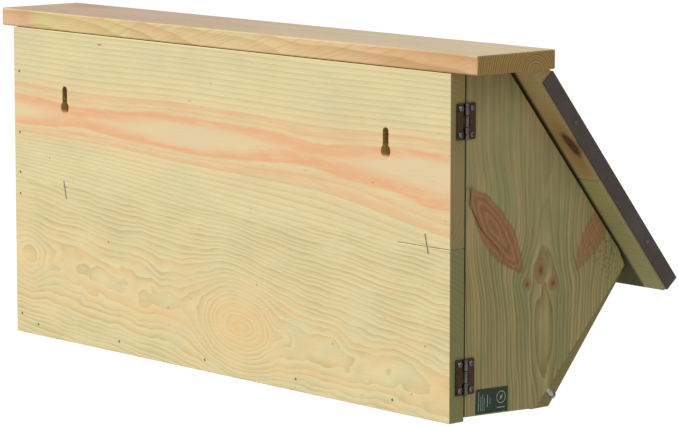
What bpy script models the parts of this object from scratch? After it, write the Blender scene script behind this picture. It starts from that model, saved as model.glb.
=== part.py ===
"""Wall-hung nest box of pressure-treated pine, with a hinged end door.

The box hangs on a wall by two keyhole slots. +Y points to the wall, -Y to the front,
+X along the box away from the door, +Z up. The origin lies on the wall face, midway
between the two hanging points. Lengths are in metres.
"""
from math import cos, pi, radians, sin, tan

import bmesh
import bpy
from mathutils import Matrix, Vector

# ---------------------------------------------------------------- driving dimensions
BOARD = 0.016                 # every board is planed to this thickness
FIT = 0.0003                  # gap between pieces that touch
ARRIS = 0.0006                # edges of the boards are eased by this much

BACK_LENGTH = 0.586
BACK_BOARD_WIDTH = 0.142      # the back is two of these, one above the other

CAP_DEPTH = 0.087
CAP_OVER_DOOR = 0.030         # overhang past the door end
CAP_OVER_SIDE = 0.018         # overhang past the fixed end
CAP_SETBACK = 0.0005
CAP_GAP = 0.0006              # slit between the back and the cap

ROOF_SLOPE = radians(51)      # below horizontal, falling to the front
ROOF_UNDERSIDE = 0.2315       # distance of the underside plane from the back's lower edge
ROOF_OVER_DOOR = 0.0225
ROOF_OVER_SIDE = 0.0135
ROOF_SEAM = -0.0536           # joint of the two roof boards, measured down the slope
ROOF_EAVE = 0.0748            # lower end of the roof, measured down the slope
SHEET = 0.0008                # roofing sheet
SHEET_FOLD = 0.0144           # depth of the folded edges, outside
SHEET_TOP = -0.1620           # upper edge of the sheet, measured down the slope

FRONT_SLOPE = radians(50.4)   # above horizontal, rising to the front
FRONT_FOOT = 0.1365           # forward position of the outer face ...
FRONT_FOOT_Z = 0.0043         # ... at this height
FRONT_BOTTOM = -0.0045

FLOOR_BOTTOM = 0.0021

DOOR_REAR = 0.0168
DOOR_BOTTOM_REAR = 0.0034     # the door hangs slightly out of square
DOOR_BOTTOM_FRONT = 0.0006
DOOR_TOP = 0.2832
DOOR_SLOPE = radians(46.2)    # lower slanted edge, above horizontal
DOOR_EDGE_Y = 0.1164          # a point on the lower slanted edge
DOOR_EDGE_Z = 0.0199
DOOR_GAP_TOP = 0.0034         # slit under the roof at the top of the door
DOOR_GAP_TIP = 0.0022         # and at its front corner
DOOR_TIP_TOP = 0.1240         # the sharp front corner is cut off between these heights
DOOR_TIP_BOTTOM = 0.1095

HINGE_HEIGHT = 0.0295
HINGE_LEAF_WIDTH = 0.0102
HINGE_LEAF = 0.0012
HINGE_KNUCKLE_R = 0.0016
HINGE_PIN_R = 0.0007
HINGE_CENTRES_Z = {"upper": 0.2450, "lower": 0.0370}
HINGE_HOLE_Y = 0.0061         # screws, from the pin
HINGE_HOLE_Z = 0.0106         # screws, from the middle

KEYHOLE_X = 0.216             # each side of the middle
KEYHOLE_ENTRY_R = 0.00575
KEYHOLE_SLOT_R = 0.0035
KEYHOLE_ENTRY_Z = 0.2153
KEYHOLE_HANG_Z = 0.2314
KEYHOLE_LIP = 0.004
KEYHOLE_DEPTH = 0.0095

ENTRANCE_X = 0.165
ENTRANCE_LENGTH = 0.065
ENTRANCE_HEIGHT = 0.032
ENTRANCE_UP = 0.066           # from the front board's lower edge, along the slope

LABEL_WIDTH = 0.0365
LABEL_HEIGHT = 0.0205
LABEL_Y = 0.0290
LABEL_Z = 0.0036

PULL_SCREW_FROM_EDGE_Y = 0.1141
PULL_SCREW_REACH = 0.0188

# ---------------------------------------------------------------- derived dimensions
HALF = BACK_LENGTH / 2
BACK_HEIGHT = 2 * BACK_BOARD_WIDTH
CAP_BOTTOM = BACK_HEIGHT + CAP_GAP
CAP_TOP = CAP_BOTTOM + BOARD
CAP_X = (-HALF - CAP_OVER_DOOR, HALF + CAP_OVER_SIDE)
ROOF_X = (-HALF - ROOF_OVER_DOOR, HALF + ROOF_OVER_SIDE)
ROOF_OUTER = ROOF_UNDERSIDE + BOARD
ROOF_TOP = CAP_BOTTOM - FIT
INSIDE_X = (-HALF + BOARD + FIT, HALF - BOARD - FIT)
FRONT_ACROSS = BOARD / sin(FRONT_SLOPE)
HINGE_Y = BOARD + FIT / 2
HINGE_X = -HALF - FIT - HINGE_KNUCKLE_R
DOOR_DOWN = pi / 2 - DOOR_SLOPE


# ---------------------------------------------------------------- scene
def clear_scene():
    for item in list(bpy.data.objects):
        bpy.data.objects.remove(item, do_unlink=True)


clear_scene()
PARTS = bpy.data.collections.new("birdhouse")
CUTTERS = bpy.data.collections.new("birdhouse_cutters")
bpy.context.scene.collection.children.link(PARTS)
bpy.context.scene.collection.children.link(CUTTERS)

# everything is laid out from the back's lower edge and carried by this empty
base = bpy.data.objects.new("base", None)
base.location = (0, 0, -KEYHOLE_HANG_Z)
PARTS.objects.link(base)

# the door and all that swings with it hang from this empty, on the hinge axis
door_axis = bpy.data.objects.new("door_axis", None)
door_axis.parent = base
door_axis.location = (HINGE_X, -HINGE_Y, 0)
PARTS.objects.link(door_axis)


def material(name, colour, roughness, metallic=0.0):
    made = bpy.data.materials.new(name)
    made.use_nodes = True
    shader = made.node_tree.nodes["Principled BSDF"]
    shader.inputs["Base Color"].default_value = (*colour, 1.0)
    shader.inputs["Roughness"].default_value = roughness
    shader.inputs["Metallic"].default_value = metallic
    return made


PINE = material("pine", (0.62, 0.53, 0.30), 0.6)
PINE_SHADE = material("pine_green", (0.36, 0.33, 0.14), 0.6)
ROOFING = material("roofing", (0.06, 0.04, 0.04), 0.7)
BRONZE = material("bronzed_steel", (0.09, 0.05, 0.04), 0.4, 0.8)
STEEL = material("bright_steel", (0.66, 0.66, 0.68), 0.3, 1.0)
GREEN_FILM = material("green_film", (0.02, 0.08, 0.04), 0.4)


# ---------------------------------------------------------------- helpers
def finish(item, paint=None, parent=base):
    """Put a new object in its collection: a part with a material, or a cutter without."""
    for held_by in list(item.users_collection):
        held_by.objects.unlink(item)
    if paint is None:
        CUTTERS.objects.link(item)
        item.hide_render = True
        item.display_type = "WIRE"
    else:
        PARTS.objects.link(item)
        item.data.materials.clear()
        item.data.materials.append(paint)
    item.parent = parent
    if parent is door_axis:
        item.location = item.location - door_axis.location
    return item


def box(name, low, high, paint=None, parent=base, turn=0.0):
    """A block between two corners; turn rotates its own frame about X."""
    low, high = Vector(low), Vector(high)
    rotation = Matrix.Rotation(turn, 3, "X")
    bpy.ops.mesh.primitive_cube_add(size=1, location=rotation @ ((low + high) / 2))
    item = bpy.context.object
    item.name = name
    item.data.transform(Matrix.Diagonal((*(high - low), 1)))
    item.rotation_euler = (turn, 0, 0)
    return finish(item, paint, parent)


def slab(name, outline, x_low, x_high, paint=None, parent=base):
    """A flat outline of (forward, up) points, given thickness along X."""
    curve = bpy.data.curves.new(name, "CURVE")
    curve.dimensions = "2D"
    curve.fill_mode = "BOTH"
    curve.extrude = (x_high - x_low) / 2
    spline = curve.splines.new("POLY")
    spline.points.add(len(outline) - 1)
    for point, (forward, up) in zip(spline.points, outline):
        point.co = (forward, up, 0, 1)
    spline.use_cyclic_u = True
    flat = bpy.data.objects.new(name + "_outline", curve)
    bpy.context.scene.collection.objects.link(flat)
    bpy.context.view_layer.update()
    evaluated = flat.evaluated_get(bpy.context.evaluated_depsgraph_get())
    mesh = bpy.data.meshes.new_from_object(evaluated)
    bpy.data.objects.remove(flat, do_unlink=True)
    work = bmesh.new()
    work.from_mesh(mesh)
    bmesh.ops.remove_doubles(work, verts=work.verts, dist=0.00001)
    bmesh.ops.recalc_face_normals(work, faces=work.faces)
    work.to_mesh(mesh)
    work.free()
    item = bpy.data.objects.new(name, mesh)
    item.rotation_euler = (pi / 2, 0, -pi / 2)
    item.location = ((x_low + x_high) / 2, 0, 0)
    bpy.context.scene.collection.objects.link(item)
    return finish(item, paint, parent)


def rod(name, start, direction, length, radius, paint=None, parent=base, sides=12):
    """A round bar from start along direction."""
    direction = Vector(direction).normalized()
    middle = Vector(start) + direction * length / 2
    bpy.ops.mesh.primitive_cylinder_add(
        vertices=sides, radius=radius, depth=length, location=middle)
    item = bpy.context.object
    item.name = name
    item.rotation_euler = direction.to_track_quat("Z", "Y").to_euler()
    return finish(item, paint, parent)


def turned(name, profile, start, direction, paint, parent=base, steps=16):
    """A turned piece: profile is (radius, distance along direction), head first."""
    mesh = bpy.data.meshes.new(name)
    work = bmesh.new()
    verts = [work.verts.new((radius, 0, along)) for radius, along in reversed(profile)]
    for one, two in zip(verts, verts[1:]):
        work.edges.new((one, two))
    work.to_mesh(mesh)
    work.free()
    item = bpy.data.objects.new(name, mesh)
    bpy.context.scene.collection.objects.link(item)
    spin = item.modifiers.new("turn", "SCREW")
    spin.steps = steps
    spin.render_steps = steps
    spin.use_merge_vertices = True
    spin.merge_threshold = 0.00001
    item.location = start
    item.rotation_euler = Vector(direction).to_track_quat("Z", "Y").to_euler()
    return finish(item, paint, parent)


def ease(item, width=ARRIS, segments=2):
    """Round a board's edges a little."""
    bevel = item.modifiers.new("eased_edges", "BEVEL")
    bevel.width = width
    bevel.segments = segments
    bevel.limit_method = "ANGLE"
    bevel.angle_limit = radians(20)
    return item


def extent(item):
    """Lowest and highest corner of an object's own mesh, in the scene."""
    corners = [item.matrix_world @ Vector(corner) for corner in item.bound_box]
    low = Vector([min(corner[axis] for corner in corners) for axis in range(3)])
    high = Vector([max(corner[axis] for corner in corners) for axis in range(3)])
    return low, high


def drill(item):
    """Take every cutter that reaches a piece out of it."""
    bpy.context.view_layer.update()
    low, high = extent(item)
    reaching = bpy.data.collections.new(item.name + "_cutters")
    for cutter in CUTTERS.objects:
        start, end = extent(cutter)
        if all(start[axis] < high[axis] and end[axis] > low[axis] for axis in range(3)):
            reaching.objects.link(cutter)
    if len(reaching.objects) == 0:
        bpy.data.collections.remove(reaching)
        return item
    cut = item.modifiers.new("holes", "BOOLEAN")
    cut.operation = "DIFFERENCE"
    cut.operand_type = "COLLECTION"
    cut.collection = reaching
    cut.solver = "EXACT"
    return item


def roof_point(down, out):
    """(forward, up) of a point given down the roof's slope and out from the back's edge."""
    return (down * cos(ROOF_SLOPE) + out * sin(ROOF_SLOPE),
            out * cos(ROOF_SLOPE) - down * sin(ROOF_SLOPE))


def roof_at(out, up):
    """Forward position of the roof plane 'out' at a height."""
    return (out - up * cos(ROOF_SLOPE)) / sin(ROOF_SLOPE)


def front_at(up, inward=0.0):
    """Forward position of the front board's outer face at a height."""
    return FRONT_FOOT + (up - FRONT_FOOT_Z) / tan(FRONT_SLOPE) - inward / sin(FRONT_SLOPE)


def front_meets_roof(inward, gap):
    """Where a plane parallel to the front board meets one under the roof."""
    out = ROOF_UNDERSIDE - gap
    foot = front_at(0.0, inward)
    up = (out - foot * sin(ROOF_SLOPE)) / (cos(ROOF_SLOPE) + sin(ROOF_SLOPE) / tan(FRONT_SLOPE))
    return (front_at(up, inward), up)


# ---------------------------------------------------------------- fasteners
BRAD_R = 0.00095
BRAD_LENGTH = 0.030
BRAD_SUNK = 0.0003
STAPLE_CROWN = 0.016
STAPLE_LEG = 0.012
STAPLE_WIRE = 0.0011
SCREW_HEAD_R = 0.0025
SCREW_HEAD = 0.0016
SCREW_R = 0.0012
SCREW_LENGTH = 0.012
ROOF_NAIL_HEAD_R = 0.0018
ROOF_NAIL_R = 0.0008
ROOF_NAIL_LENGTH = 0.014


def brad(name, head, direction, length=BRAD_LENGTH):
    """A headless nail punched just below the surface, and the hole that it fills."""
    direction = Vector(direction).normalized()
    head = Vector(head)
    rod(name, head + direction * BRAD_SUNK, direction, length, BRAD_R, STEEL, sides=10)
    rod(name + "_hole", head - direction * 0.001, direction,
        length + BRAD_SUNK + 0.001 + FIT, BRAD_R + FIT, sides=10)


def pan_screw(name, seat, direction, parent):
    """A pan-head screw whose head sits on seat, and its hole."""
    r, h = SCREW_HEAD_R, SCREW_HEAD
    profile = [(0, -h), (0.55 * r, -h), (0.86 * r, -0.75 * h), (r, -0.35 * h), (r, 0),
               (SCREW_R, 0), (SCREW_R, SCREW_LENGTH * 0.75), (0, SCREW_LENGTH)]
    turned(name, profile, seat, direction, STEEL, parent)
    rod(name + "_hole", Vector(seat) + Vector(direction) * 0.0001, direction,
        SCREW_LENGTH + FIT, SCREW_R + FIT, parent=base)


def roof_nail(name, x, outward, down, out):
    """A flat-headed nail through the sheet's fold into the roof's end grain."""
    forward, up = roof_point(down, out)
    seat = (x + outward * 0.0001, -forward, up)
    profile = [(0, -0.0007), (0.8 * ROOF_NAIL_HEAD_R, -0.0007), (ROOF_NAIL_HEAD_R, -0.0003),
               (ROOF_NAIL_HEAD_R, 0), (ROOF_NAIL_R, 0), (ROOF_NAIL_R, 0.011),
               (0, ROOF_NAIL_LENGTH)]
    turned(name, profile, seat, (-outward, 0, 0), STEEL, steps=12)
    start = (x + outward * 0.00005, -forward, up)
    rod(name + "_hole", start, (-outward, 0, 0), ROOF_NAIL_LENGTH + FIT, ROOF_NAIL_R + FIT)


def staple_outline(grow):
    """U of a crown staple in (forward, up), crown at the surface."""
    half = STAPLE_CROWN / 2 + grow
    wire = STAPLE_WIRE
    top = 0.0002 - grow
    leg = STAPLE_LEG + grow
    inner = half - wire - 2 * grow
    crown = top + wire * 0.6 + 2 * grow
    return [(top, -half), (leg, -half), (leg, -inner), (crown, -inner),
            (crown, inner), (leg, inner), (leg, half), (top, half)]


def staple(name, x, z, lean):
    """A crown staple across the joint of the two back boards, and its groove."""
    for label, grow, paint in ((name, 0.0, STEEL), (name + "_groove", FIT, None)):
        half = STAPLE_WIRE / 2 + grow
        item = slab(label, staple_outline(grow), x - half, x + half, paint)
        item.location = (x, 0, z)
        turn = Matrix.Rotation(lean, 3, "Y") @ item.rotation_euler.to_matrix()
        item.rotation_euler = turn.to_euler()


def back_fasteners():
    column_x = HALF - BOARD / 2
    for number, z in enumerate((0.2434, 0.1869, 0.1500, 0.1300, 0.0176), 1):
        brad(f"side_brad_{number}", (column_x, 0, z), (0, -1, 0))
    for number in range(5):
        x = 0.260 - number * 0.1212
        brad(f"floor_brad_{number + 1}", (x, 0, FLOOR_BOTTOM + BOARD / 2), (0, -1, 0))
    staple("back_staple_far", 0.2168, 0.1399, radians(13))
    staple("back_staple_door", -0.2655, 0.1444, radians(14))


def cap_fasteners():
    for number in range(4):
        x = -0.225 + number * 0.150
        brad(f"cap_brad_{number + 1}", (x, -BOARD / 2, CAP_TOP), (0, 0, -1))


def front_fasteners():
    into = (0, sin(FRONT_SLOPE), cos(FRONT_SLOPE))
    up = FLOOR_BOTTOM - 0.004
    for number in range(3):
        x = -0.20 + number * 0.20
        brad(f"front_brad_{number + 1}", (x, -front_at(up), up), into)
    for number, height in ((4, 0.030), (5, 0.070)):
        brad(f"front_brad_{number}", (HALF - BOARD / 2, -front_at(height), height), into)


def roof_fasteners():
    into = (0, sin(ROOF_SLOPE), -cos(ROOF_SLOPE))
    for number, down in enumerate((-0.145, -0.080, -0.030, 0.030), 1):
        forward, up = roof_point(down, ROOF_OUTER)
        brad(f"roof_brad_{number}", (HALF - BOARD / 2, -forward, up), into)
    fold_middle = ROOF_OUTER + FIT + SHEET - SHEET_FOLD / 2
    ends = (("door", ROOF_X[0] - FIT - SHEET, -1), ("side", ROOF_X[1] + FIT + SHEET, 1))
    for end, x, outward in ends:
        for place, down in (("upper", -0.111), ("lower", 0.026)):
            roof_nail(f"roof_nail_{end}_{place}", x, outward, down, fold_middle)


# ---------------------------------------------------------------- boards
def cut_keyhole(number, x):
    """Round entry, slot above it, and the wider pocket behind the slot's lip."""
    names = (f"keyhole_{number}_entry", f"keyhole_{number}_slot", f"keyhole_{number}_end",
             f"keyhole_{number}_pocket", f"keyhole_{number}_pocket_end")
    inward = (0, -1, 0)
    rod(names[0], (x, 0.001, KEYHOLE_ENTRY_Z), inward, KEYHOLE_DEPTH + 0.001,
        KEYHOLE_ENTRY_R, sides=24)
    r = KEYHOLE_SLOT_R
    box(names[1], (x - r, -KEYHOLE_LIP - 0.0002, KEYHOLE_ENTRY_Z),
        (x + r, 0.001, KEYHOLE_HANG_Z))
    rod(names[2], (x, 0.001, KEYHOLE_HANG_Z), inward, KEYHOLE_LIP + 0.0012, r, sides=24)
    r = KEYHOLE_ENTRY_R - 0.0001
    box(names[3], (x - r, -KEYHOLE_DEPTH + 0.0002, KEYHOLE_ENTRY_Z + 0.0001),
        (x + r, -KEYHOLE_LIP, KEYHOLE_HANG_Z - 0.0023))
    rod(names[4], (x, -KEYHOLE_LIP, KEYHOLE_HANG_Z - 0.0023), inward,
        KEYHOLE_DEPTH - KEYHOLE_LIP - 0.0002, r, sides=24)


def build_back():
    """Two boards edge to edge."""
    seam = BACK_BOARD_WIDTH
    lower = box("back_board_lower", (-HALF, -BOARD, 0), (HALF, 0, seam - FIT / 2), PINE)
    upper = box("back_board_upper", (-HALF, -BOARD, seam + FIT / 2), (HALF, 0, BACK_HEIGHT), PINE)
    for number, x in enumerate((-KEYHOLE_X, KEYHOLE_X), 1):
        cut_keyhole(number, x)
    for item in (lower, upper):
        drill(ease(item))


def build_cap():
    item = box("cap_board", (CAP_X[0], -CAP_SETBACK - CAP_DEPTH, CAP_BOTTOM),
               (CAP_X[1], -CAP_SETBACK, CAP_TOP), PINE)
    drill(ease(item, 0.0012))


def build_roof():
    seam, eave = ROOF_SEAM, ROOF_EAVE
    under, outer = ROOF_UNDERSIDE, ROOF_OUTER
    upper = slab("roof_board_upper",
                 [(roof_at(under, ROOF_TOP), ROOF_TOP), roof_point(seam - FIT / 2, under),
                  roof_point(seam - FIT / 2, outer), (roof_at(outer, ROOF_TOP), ROOF_TOP)],
                 ROOF_X[0], ROOF_X[1], PINE_SHADE)
    lower = box("roof_board_lower", (ROOF_X[0], -eave, under),
                (ROOF_X[1], -seam - FIT / 2, outer), PINE_SHADE, turn=ROOF_SLOPE)
    for item in (upper, lower):
        drill(ease(item))


def build_roof_sheet():
    """Sheet laid on the roof boards and folded down over both ends and the eave."""
    wrap = FIT + SHEET
    top = ROOF_OUTER + wrap
    sheet = box("roof_sheet", (ROOF_X[0] - wrap, -ROOF_EAVE - wrap, top - SHEET_FOLD),
                (ROOF_X[1] + wrap, -SHEET_TOP, top), ROOFING, turn=ROOF_SLOPE)
    hollow = box("roof_sheet_hollow", (ROOF_X[0] - FIT, -ROOF_EAVE - FIT, top - 2 * SHEET_FOLD),
                 (ROOF_X[1] + FIT, -SHEET_TOP + 0.01, top - SHEET), turn=ROOF_SLOPE)
    CUTTERS.objects.unlink(hollow)
    HOLLOWS.objects.link(hollow)
    cut = sheet.modifiers.new("fold", "BOOLEAN")
    cut.operation = "DIFFERENCE"
    cut.object = hollow
    cut.solver = "EXACT"
    drill(sheet)


def build_front():
    """Slanted front board with an oblong entrance."""
    bottom = FRONT_BOTTOM
    outline = [(front_at(bottom, BOARD), bottom), (front_at(bottom), bottom),
               front_meets_roof(0, FIT), front_meets_roof(BOARD, FIT)]
    item = slab("front_board", outline, INSIDE_X[0], HALF, PINE)
    reach = ENTRANCE_UP
    centre = Vector((ENTRANCE_X, -front_at(bottom) - reach * cos(FRONT_SLOPE),
                     bottom + reach * sin(FRONT_SLOPE)))
    into = Vector((0, sin(FRONT_SLOPE), cos(FRONT_SLOPE)))
    start = centre - into * 0.004
    radius = ENTRANCE_HEIGHT / 2
    half = ENTRANCE_LENGTH / 2 - radius
    for side, offset in (("left", -half), ("right", half)):
        rod("entrance_" + side, start + Vector((offset, 0, 0)), into, BOARD + 0.008,
            radius, sides=32)
    middle = box("entrance_middle", (-half, -radius, 0), (half, radius, BOARD + 0.008))
    middle.rotation_euler = into.to_track_quat("Z", "Y").to_euler()
    middle.location = start + into * (BOARD + 0.008) / 2
    drill(ease(item))


def build_floor():
    low, high = FLOOR_BOTTOM, FLOOR_BOTTOM + BOARD
    rear = BOARD + FIT
    outline = [(rear, low), (front_at(low, BOARD + FIT), low),
               (front_at(high, BOARD + FIT), high), (rear, high)]
    drill(ease(slab("floor_board", outline, INSIDE_X[0], INSIDE_X[1], PINE)))


def build_side():
    """Fixed end, under the roof and behind the front board."""
    rear = BOARD + FIT
    top = CAP_BOTTOM - FIT
    outline = [(rear, FLOOR_BOTTOM), (front_at(FLOOR_BOTTOM, BOARD + FIT), FLOOR_BOTTOM),
               front_meets_roof(BOARD + FIT, FIT), (roof_at(ROOF_UNDERSIDE - FIT, top), top),
               (rear, top)]
    drill(ease(slab("side_panel", outline, HALF - BOARD, HALF, PINE)))


# ---------------------------------------------------------------- door
def door_edge_at(up):
    return DOOR_EDGE_Y + (up - DOOR_EDGE_Z) / tan(DOOR_SLOPE)


def build_door():
    outline = [(DOOR_REAR, DOOR_BOTTOM_REAR), (door_edge_at(DOOR_BOTTOM_FRONT), DOOR_BOTTOM_FRONT),
               (door_edge_at(DOOR_TIP_BOTTOM), DOOR_TIP_BOTTOM),
               (roof_at(ROOF_UNDERSIDE - DOOR_GAP_TIP, DOOR_TIP_TOP), DOOR_TIP_TOP),
               (roof_at(ROOF_UNDERSIDE - DOOR_GAP_TOP, DOOR_TOP), DOOR_TOP), (DOOR_REAR, DOOR_TOP)]
    door = slab("door_panel", outline, -HALF, -HALF + BOARD, PINE_SHADE, parent=door_axis)
    drill(ease(door, 0.0005))


def build_label():
    face = -HALF - 0.0001
    low = (face - 0.0002, -LABEL_Y - LABEL_WIDTH, LABEL_Z)
    high = (face, -LABEL_Y, LABEL_Z + LABEL_HEIGHT)
    label = box("door_label", low, high, GREEN_FILM, parent=door_axis)
    label.rotation_euler = (radians(1.8), 0, 0)


def build_pull_screw():
    """Round-headed screw standing out of the door's lower slanted edge, to open it by."""
    down = Vector((0, -cos(DOOR_DOWN), -sin(DOOR_DOWN)))
    up = DOOR_EDGE_Z + (PULL_SCREW_FROM_EDGE_Y - DOOR_EDGE_Y) * tan(DOOR_SLOPE)
    edge = Vector((-HALF + BOARD / 2, -PULL_SCREW_FROM_EDGE_Y, up))
    head_r, shank_r, head = 0.0030, 0.0019, 0.0024
    seat = edge + down * (PULL_SCREW_REACH - head)
    depth = PULL_SCREW_REACH - head + 0.015
    profile = [(0, -head), (0.6 * head_r, -head), (0.9 * head_r, -0.75 * head),
               (head_r, -0.4 * head), (head_r, 0), (shank_r, 0), (shank_r, depth - 0.004),
               (0, depth)]
    turned("door_pull_screw", profile, seat, -down, STEEL, door_axis)
    rod("door_pull_screw_hole", edge + down * 0.002, -down, 0.002 + 0.015 + FIT, shank_r + FIT)


# ---------------------------------------------------------------- hinges
def knuckle_spans(middle):
    """Heights of the three knuckles of a hinge: frame, door, frame."""
    third = HINGE_HEIGHT / 3
    low = middle - HINGE_HEIGHT / 2
    return [(low + number * third + FIT / 2 * (number > 0),
             low + (number + 1) * third - FIT / 2 * (number < 2)) for number in range(3)]


def hinge_leaf(name, middle, side, spans, parent):
    """A plate with its share of the knuckles; side is +1 for the frame, -1 for the door."""
    face = -HALF - FIT
    low, high = middle - HINGE_HEIGHT / 2, middle + HINGE_HEIGHT / 2
    near, far = HINGE_KNUCKLE_R + 0.0004, HINGE_LEAF_WIDTH
    y_near, y_far = -HINGE_Y + side * near, -HINGE_Y + side * far
    plate = box(name, (face - HINGE_LEAF, min(y_near, y_far), low),
                (face, max(y_near, y_far), high), BRONZE)
    ease(plate, 0.0003, 1)
    adds = []
    for number, (bottom, top) in enumerate(spans):
        y_in = -HINGE_Y + side * (near + 0.001)
        y_mid = -HINGE_Y + side * 0.0002
        tab = box(f"{name}_tab_{number}", (face - HINGE_LEAF, min(y_in, y_mid), bottom),
                  (face, max(y_in, y_mid), top))
        barrel = rod(f"{name}_barrel_{number}", (HINGE_X, -HINGE_Y, bottom), (0, 0, 1),
                     top - bottom, HINGE_KNUCKLE_R, sides=20)
        adds += [tab, barrel]
    bore = rod(f"{name}_bore", (HINGE_X, -HINGE_Y, low - 0.001), (0, 0, 1),
               HINGE_HEIGHT + 0.002, HINGE_PIN_R + 0.00025, sides=16)
    for item, operation in [(add, "UNION") for add in adds] + [(bore, "DIFFERENCE")]:
        CUTTERS.objects.unlink(item)
        HOLLOWS.objects.link(item)
        joined = plate.modifiers.new(item.name, "BOOLEAN")
        joined.operation = operation
        joined.object = item
        joined.solver = "EXACT"
    drill(plate)
    if parent is door_axis:
        plate.parent = door_axis
        plate.location = plate.location - door_axis.location


def build_hinge(place, middle):
    """Butt hinge on the outer faces, its pin over the joint of back and door."""
    spans = knuckle_spans(middle)
    rod(f"hinge_{place}_pin", (HINGE_X, -HINGE_Y, middle - HINGE_HEIGHT / 2 - 0.0003),
        (0, 0, 1), HINGE_HEIGHT + 0.0006, HINGE_PIN_R, BRONZE)
    seat_x = -HALF - FIT - HINGE_LEAF - 0.0001
    for side, holder in ((1, "frame"), (-1, "door")):
        parent = base if side == 1 else door_axis
        for level, height in (("top", 1), ("bottom", -1)):
            seat = (seat_x, -HINGE_Y + side * HINGE_HOLE_Y, middle + height * HINGE_HOLE_Z)
            pan_screw(f"hinge_{place}_{holder}_screw_{level}", seat, (1, 0, 0), parent)
    hinge_leaf(f"hinge_{place}_frame_leaf", middle, 1, (spans[0], spans[2]), base)
    hinge_leaf(f"hinge_{place}_door_leaf", middle, -1, (spans[1],), door_axis)


HOLLOWS = bpy.data.collections.new("birdhouse_hollows")
bpy.context.scene.collection.children.link(HOLLOWS)

back_fasteners()
cap_fasteners()
front_fasteners()
roof_fasteners()
build_pull_screw()
for place, middle in HINGE_CENTRES_Z.items():
    build_hinge(place, middle)
build_back()
build_cap()
build_roof()
build_roof_sheet()
build_front()
build_floor()
build_side()
build_door()
build_label()
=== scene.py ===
from math import cos, pi, radians, sin, sqrt

import bmesh
import bpy
from mathutils import Matrix, Vector


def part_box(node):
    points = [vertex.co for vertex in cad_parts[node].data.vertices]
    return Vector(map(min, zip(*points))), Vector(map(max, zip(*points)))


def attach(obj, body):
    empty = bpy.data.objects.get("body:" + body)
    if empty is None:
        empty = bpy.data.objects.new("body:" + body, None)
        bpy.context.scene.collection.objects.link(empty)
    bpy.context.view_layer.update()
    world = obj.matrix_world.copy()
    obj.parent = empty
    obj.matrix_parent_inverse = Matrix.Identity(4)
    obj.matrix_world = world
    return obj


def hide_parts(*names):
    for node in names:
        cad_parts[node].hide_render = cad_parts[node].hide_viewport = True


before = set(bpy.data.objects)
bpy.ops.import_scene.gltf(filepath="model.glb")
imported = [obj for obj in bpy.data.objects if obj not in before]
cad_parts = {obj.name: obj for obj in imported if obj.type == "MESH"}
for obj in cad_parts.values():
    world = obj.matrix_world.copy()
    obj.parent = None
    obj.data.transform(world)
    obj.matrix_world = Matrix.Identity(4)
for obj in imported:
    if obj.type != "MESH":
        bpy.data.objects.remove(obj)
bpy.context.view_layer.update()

# ------------------------------------------------------------------ places taken from the frame
MM = 1000.0                         # millimetres in a metre
BACK_LOW = Vector(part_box("back_board_lower")[0])
BACK_HIGH = Vector(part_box("back_board_upper")[1])
CAP_LOW, CAP_HIGH = (Vector(corner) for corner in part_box("cap_board"))
ROOF_LOW = Vector(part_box("roof_board_lower")[0])
DOOR_FACE = Vector(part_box("door_panel")[0]).x
FOOT = BACK_LOW.z                   # lower edge of the back
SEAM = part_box("back_board_upper")[0][2]     # joint of the two back boards
ROOF_SLOPE = radians(51)
ROOF_TO_DOOR = (DOOR_FACE - ROOF_LOW.x) * MM   # overhang beyond the door
ROOF_UNDER = 231.5                  # foot of the back to the roof's underside, square to it
FRONT_SLOPE = radians(50.4)
DOOR_SLOPE = radians(46.2)          # the door's slanted lower edge

# ------------------------------------------------------------------ camera, lights and floor
AIM = Vector((-0.1513, 0.0, -0.0790))
VIEW_AZIMUTH = radians(228.51)
VIEW_ELEVATION = radians(8.11)
VIEW_DISTANCE = 2.879
LENS = 183.6                        # focal length in millimetres, on a sensor 36 mm wide
LENS_SHIFT = (0.0096, 0.0081)
FLOOR_BELOW = 0.45                  # the floor under the foot of the back
FLOOR_REACH = 40


def add_camera():
    towards = Vector((sin(VIEW_AZIMUTH) * cos(VIEW_ELEVATION),
                      -cos(VIEW_AZIMUTH) * cos(VIEW_ELEVATION), sin(VIEW_ELEVATION)))
    lens = bpy.data.cameras.new("camera")
    lens.lens = LENS
    lens.sensor_width = 36
    lens.shift_x, lens.shift_y = LENS_SHIFT
    lens.clip_end = 100
    camera = bpy.data.objects.new("camera", lens)
    camera.location = AIM + towards * VIEW_DISTANCE
    camera.rotation_euler = (-towards).to_track_quat("-Z", "Y").to_euler()
    bpy.context.scene.collection.objects.link(camera)
    bpy.context.scene.camera = camera


def hang_lamp(name, kind, power, colour, towards, place=(0, 0, 0)):
    """Add a lamp that shines along a direction; returns its light."""
    lamp = bpy.data.lights.new(name, kind)
    lamp.energy = power
    lamp.color = colour
    holder = bpy.data.objects.new(name, lamp)
    holder.location = place
    holder.rotation_euler = Vector(towards).to_track_quat("-Z", "Y").to_euler()
    bpy.context.scene.collection.objects.link(holder)
    return lamp


def light_studio():
    """A wide soft sun and a weak round fill, both facing the back board, and a pale sky."""
    world = bpy.data.worlds.new("studio")
    world.use_nodes = True
    sky = world.node_tree.nodes["Background"].inputs
    sky["Color"].default_value = (1.0, 0.99, 0.97, 1)
    sky["Strength"].default_value = 0.42
    bpy.context.scene.world = world
    key = hang_lamp("key", "SUN", 2.75, (1.0, 0.99, 0.97), (-0.3, -1.0, -1.35))
    key.angle = radians(25)
    place = Vector((1.6, 2.2, 0.5))
    fill = hang_lamp("fill", "AREA", 9, (1.0, 0.985, 0.96), Vector((0.2, 0, 0)) - place, place)
    fill.shape = "DISK"
    fill.size = 1.2
    bpy.context.scene.view_settings.view_transform = "Standard"


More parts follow.
